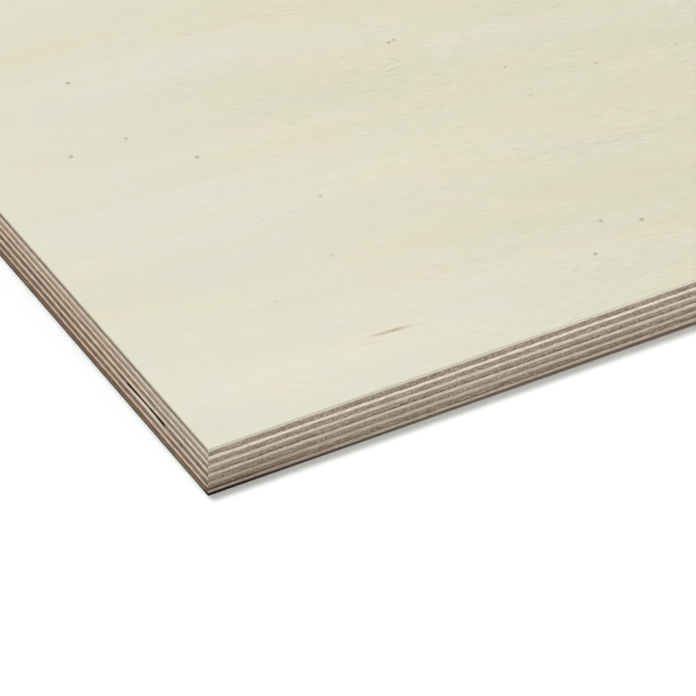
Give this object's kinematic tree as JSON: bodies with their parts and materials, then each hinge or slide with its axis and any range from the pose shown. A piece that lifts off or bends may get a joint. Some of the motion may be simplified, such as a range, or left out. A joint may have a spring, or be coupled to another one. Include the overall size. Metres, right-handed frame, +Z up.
{
  "type": "plywood sheet",
  "caption": "Flat rectangular birch plywood sheet of cross-laid veneers, with a pale sanded face, striped sawn edges and a small open core gap, for panels, furniture and building work.",
  "frame": {"origin": "centre of the sheet's underside, so that it lies flat on its back veneer", "axes": "+X along the face grain and the sheet's length, +Y across it, +Z up out of the face"},
  "size_m": [1.22, 0.61, 0.015],
  "materials": {
    "face_birch": "pale cream birch, fine sanded, grain along the length",
    "cross_birch": "birch veneer with its grain across the sheet, sawn edges with dark glue lines",
    "long_birch": "birch veneer with its grain along the sheet, sawn edges with dark glue lines"
  },
  "bodies": {
    "root": {"face_veneer": "face_birch", "cross_ply_02": "cross_birch", "long_ply_03": "long_birch", "cross_ply_04": "cross_birch", "long_ply_05": "long_birch", "cross_ply_06": "cross_birch", "long_ply_07": "long_birch", "cross_ply_08": "cross_birch", "long_ply_09": "long_birch", "cross_ply_10": "cross_birch", "back_veneer": "face_birch"}
  },
  "joints": []
}
